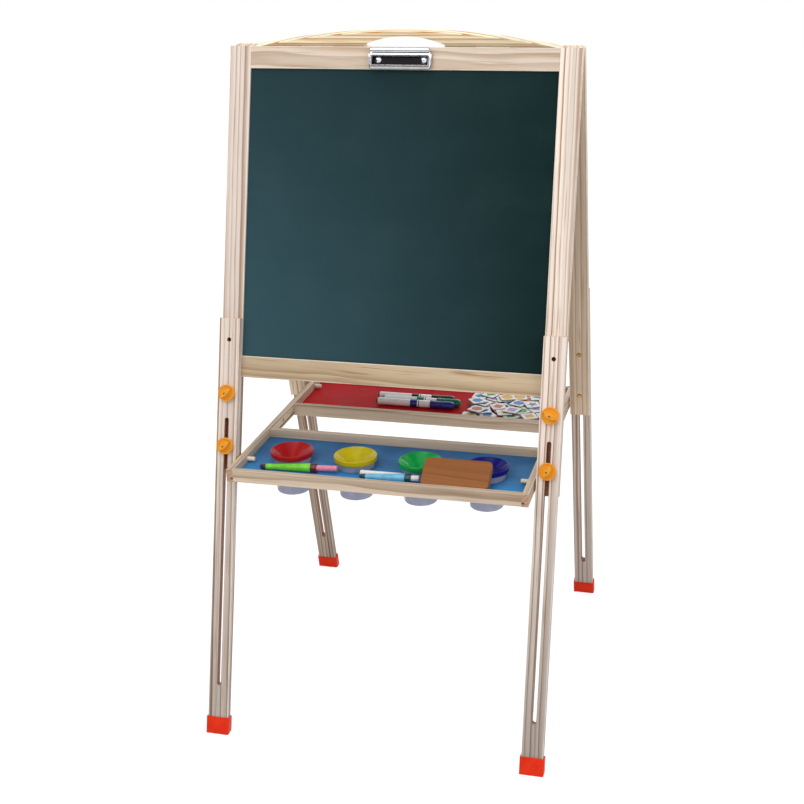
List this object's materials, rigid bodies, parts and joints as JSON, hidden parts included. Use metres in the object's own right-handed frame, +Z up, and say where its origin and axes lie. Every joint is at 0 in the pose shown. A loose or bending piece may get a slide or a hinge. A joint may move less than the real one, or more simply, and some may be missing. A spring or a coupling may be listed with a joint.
{
  "type": "kids easel",
  "caption": "Double-sided folding children's easel with a chalkboard and a whiteboard on sliding slotted legs, and a tray between them for paint cups and drawing kit.",
  "frame": {"origin": "on the floor, midway between the four feet", "axes": "+Z up, +X to the right seen from the chalkboard side, +Y from the chalkboard side to the whiteboard side"},
  "size_m": [0.5242, 0.589, 1.0243],
  "materials": {
    "pine": "satin clear lacquer",
    "chalkboard": "matt dark green chalkboard paint on hardboard",
    "whiteboard": "white gloss facing on hardboard",
    "zinc_steel": "zinc plated",
    "chrome": "polished",
    "brass": "satin",
    "orange_plastic": "moulded, on a steel stud",
    "red_plastic": "moulded, satin",
    "blue_board": "blue lacquer on hardboard",
    "red_board": "red lacquer on hardboard",
    "frosted_plastic": "frosted, translucent",
    "red_lid_plastic": "glossy",
    "yellow_lid_plastic": "glossy",
    "green_lid_plastic": "glossy",
    "blue_lid_plastic": "glossy",
    "eraser_wood": "stained",
    "felt": "dense felt",
    "holder_plastic": "moulded holders with sticks of chalk",
    "marker_plastic": "white barrels with coloured caps",
    "tile_plastic": "plain coloured tiles"
  },
  "bodies": {
    "front_frame": {"front_left_stile": "pine", "front_right_stile": "pine", "front_bottom_rail": "pine", "front_frame_dowels": "pine", "front_insert_nuts": "brass", "front_hinge_leaves": "zinc_steel", "front_hinge_screws": "zinc_steel", "front_top_rail": "pine", "chalkboard": "chalkboard", "clip_base": "chrome", "clip_pin": "chrome", "clip_spring": "zinc_steel", "clip_screws": "chrome"},
    "rear_frame": {"rear_left_stile": "pine", "rear_right_stile": "pine", "rear_bottom_rail": "pine", "rear_frame_dowels": "pine", "rear_insert_nuts": "brass", "rear_hinge_leaves": "zinc_steel", "rear_hinge_screws": "zinc_steel", "rear_arch_rail": "pine", "whiteboard": "whiteboard", "hinge_pins": "zinc_steel"},
    "tray": {"tray_left_rail": "pine", "tray_right_rail": "pine", "front_tray_rails": "pine", "rear_tray_rails": "pine", "front_shelf": "blue_board", "rear_shelf": "red_board", "tray_pegs": "pine"},
    "clip_jaw": {"clip_jaw": "chrome"},
    "front_left_leg": {"front_left_leg": "pine", "front_left_foot_cap": "red_plastic"},
    "front_left_upper_knob": {"front_left_upper_knob": "orange_plastic"},
    "front_left_lower_knob": {"front_left_lower_knob": "orange_plastic"},
    "front_right_leg": {"front_right_leg": "pine", "front_right_foot_cap": "red_plastic"},
    "front_right_upper_knob": {"front_right_upper_knob": "orange_plastic"},
    "front_right_lower_knob": {"front_right_lower_knob": "orange_plastic"},
    "rear_left_leg": {"rear_left_leg": "pine", "rear_left_foot_cap": "red_plastic"},
    "rear_left_upper_knob": {"rear_left_upper_knob": "orange_plastic"},
    "rear_left_lower_knob": {"rear_left_lower_knob": "orange_plastic"},
    "rear_right_leg": {"rear_right_leg": "pine", "rear_right_foot_cap": "red_plastic"},
    "rear_right_upper_knob": {"rear_right_upper_knob": "orange_plastic"},
    "rear_right_lower_knob": {"rear_right_lower_knob": "orange_plastic"},
    "red_cup": {"red_cup": "frosted_plastic"},
    "red_lid": {"red_lid": "red_lid_plastic"},
    "yellow_cup": {"yellow_cup": "frosted_plastic"},
    "yellow_lid": {"yellow_lid": "yellow_lid_plastic"},
    "green_cup": {"green_cup": "frosted_plastic"},
    "green_lid": {"green_lid": "green_lid_plastic"},
    "blue_cup": {"blue_cup": "frosted_plastic"},
    "blue_lid": {"blue_lid": "blue_lid_plastic"},
    "eraser": {"eraser_block": "eraser_wood", "eraser_felt": "felt"},
    "chalk_holders": {"chalk_holders": "holder_plastic"},
    "markers": {"markers": "marker_plastic"},
    "tiles": {"tiles": "tile_plastic"}
  },
  "joints": [
    {"name": "frame_fold", "type": "hinge", "parent": "rear_frame", "child": "front_frame", "pos_m": [0, 0, 0.99788], "axis": [1, 0, 0], "range_deg": [0, 29.6]},
    {"name": "tray_swing", "type": "hinge", "parent": "rear_frame", "child": "tray", "pos_m": [0, 0.1654, 0.40868], "axis": [1, 0, 0], "range_deg": [0, 104.8]},
    {"name": "clip_press", "type": "hinge", "parent": "front_frame", "child": "clip_jaw", "pos_m": [0, -0.02182, 0.99124], "axis": [-1, 0, 0], "range_deg": [0, 22], "stiffness_Nm_per_rad": 0.5, "springref_deg": -28.65},
    {"name": "front_left_leg_slide", "type": "slide", "parent": "front_frame", "child": "front_left_leg", "axis": [0, 0.2554, 0.9668], "range_m": [-0.038, 0.365]},
    {"name": "front_left_upper_knob_turn", "type": "hinge", "parent": "front_left_leg", "child": "front_left_upper_knob", "pos_m": [-0.244, -0.15757, 0.50995], "axis": [0, -0.9668, 0.2554], "continuous": true},
    {"name": "front_left_lower_knob_turn", "type": "hinge", "parent": "front_frame", "child": "front_left_lower_knob", "pos_m": [-0.244, -0.178, 0.4326], "axis": [0, -0.9668, 0.2554], "continuous": true},
    {"name": "front_right_leg_slide", "type": "slide", "parent": "front_frame", "child": "front_right_leg", "axis": [0, 0.2554, 0.9668], "range_m": [-0.038, 0.365]},
    {"name": "front_right_upper_knob_turn", "type": "hinge", "parent": "front_right_leg", "child": "front_right_upper_knob", "pos_m": [0.244, -0.15757, 0.50995], "axis": [0, -0.9668, 0.2554], "continuous": true},
    {"name": "front_right_lower_knob_turn", "type": "hinge", "parent": "front_frame", "child": "front_right_lower_knob", "pos_m": [0.244, -0.178, 0.4326], "axis": [0, -0.9668, 0.2554], "continuous": true},
    {"name": "rear_left_leg_slide", "type": "slide", "parent": "rear_frame", "child": "rear_left_leg", "axis": [0, -0.2554, 0.9668], "range_m": [-0.038, 0.365]},
    {"name": "rear_left_upper_knob_turn", "type": "hinge", "parent": "rear_left_leg", "child": "rear_left_upper_knob", "pos_m": [-0.244, 0.15757, 0.50995], "axis": [0, 0.9668, 0.2554], "continuous": true},
    {"name": "rear_left_lower_knob_turn", "type": "hinge", "parent": "rear_frame", "child": "rear_left_lower_knob", "pos_m": [-0.244, 0.178, 0.4326], "axis": [0, 0.9668, 0.2554], "continuous": true},
    {"name": "rear_right_leg_slide", "type": "slide", "parent": "rear_frame", "child": "rear_right_leg", "axis": [0, -0.2554, 0.9668], "range_m": [-0.038, 0.365]},
    {"name": "rear_right_upper_knob_turn", "type": "hinge", "parent": "rear_right_leg", "child": "rear_right_upper_knob", "pos_m": [0.244, 0.15757, 0.50995], "axis": [0, 0.9668, 0.2554], "continuous": true},
    {"name": "rear_right_lower_knob_turn", "type": "hinge", "parent": "rear_frame", "child": "rear_right_lower_knob", "pos_m": [0.244, 0.178, 0.4326], "axis": [0, 0.9668, 0.2554], "continuous": true},
    {"name": "red_cup_lift", "type": "slide", "parent": "tray", "child": "red_cup", "axis": [0, 0, 1], "range_m": [0, 0.06]},
    {"name": "red_lid_lift", "type": "slide", "parent": "red_cup", "child": "red_lid", "axis": [0, 0, 1], "range_m": [0, 0.03]},
    {"name": "yellow_cup_lift", "type": "slide", "parent": "tray", "child": "yellow_cup", "axis": [0, 0, 1], "range_m": [0, 0.06]},
    {"name": "yellow_lid_lift", "type": "slide", "parent": "yellow_cup", "child": "yellow_lid", "axis": [0, 0, 1], "range_m": [0, 0.03]},
    {"name": "green_cup_lift", "type": "slide", "parent": "tray", "child": "green_cup", "axis": [0, 0, 1], "range_m": [0, 0.06]},
    {"name": "green_lid_lift", "type": "slide", "parent": "green_cup", "child": "green_lid", "axis": [0, 0, 1], "range_m": [0, 0.03]},
    {"name": "blue_cup_lift", "type": "slide", "parent": "tray", "child": "blue_cup", "axis": [0, 0, 1], "range_m": [0, 0.06]},
    {"name": "blue_lid_lift", "type": "slide", "parent": "blue_cup", "child": "blue_lid", "axis": [0, 0, 1], "range_m": [0, 0.03]},
    {"name": "eraser_lift", "type": "slide", "parent": "green_lid", "child": "eraser", "axis": [0, 0, 1], "range_m": [0, 0.06]},
    {"name": "chalk_holders_lift", "type": "slide", "parent": "tray", "child": "chalk_holders", "axis": [0, 0, 1], "range_m": [0, 0.05]},
    {"name": "markers_lift", "type": "slide", "parent": "tray", "child": "markers", "axis": [0, 0, 1], "range_m": [0, 0.05]},
    {"name": "tiles_lift", "type": "slide", "parent": "tray", "child": "tiles", "axis": [0, 0, 1], "range_m": [0, 0.05]}
  ],
  "couplings": [
    {"joint": "blue_cup_lift", "follows": "green_cup_lift", "ratio": 1},
    {"joint": "blue_lid_lift", "follows": "green_lid_lift", "ratio": 1}
  ]
}
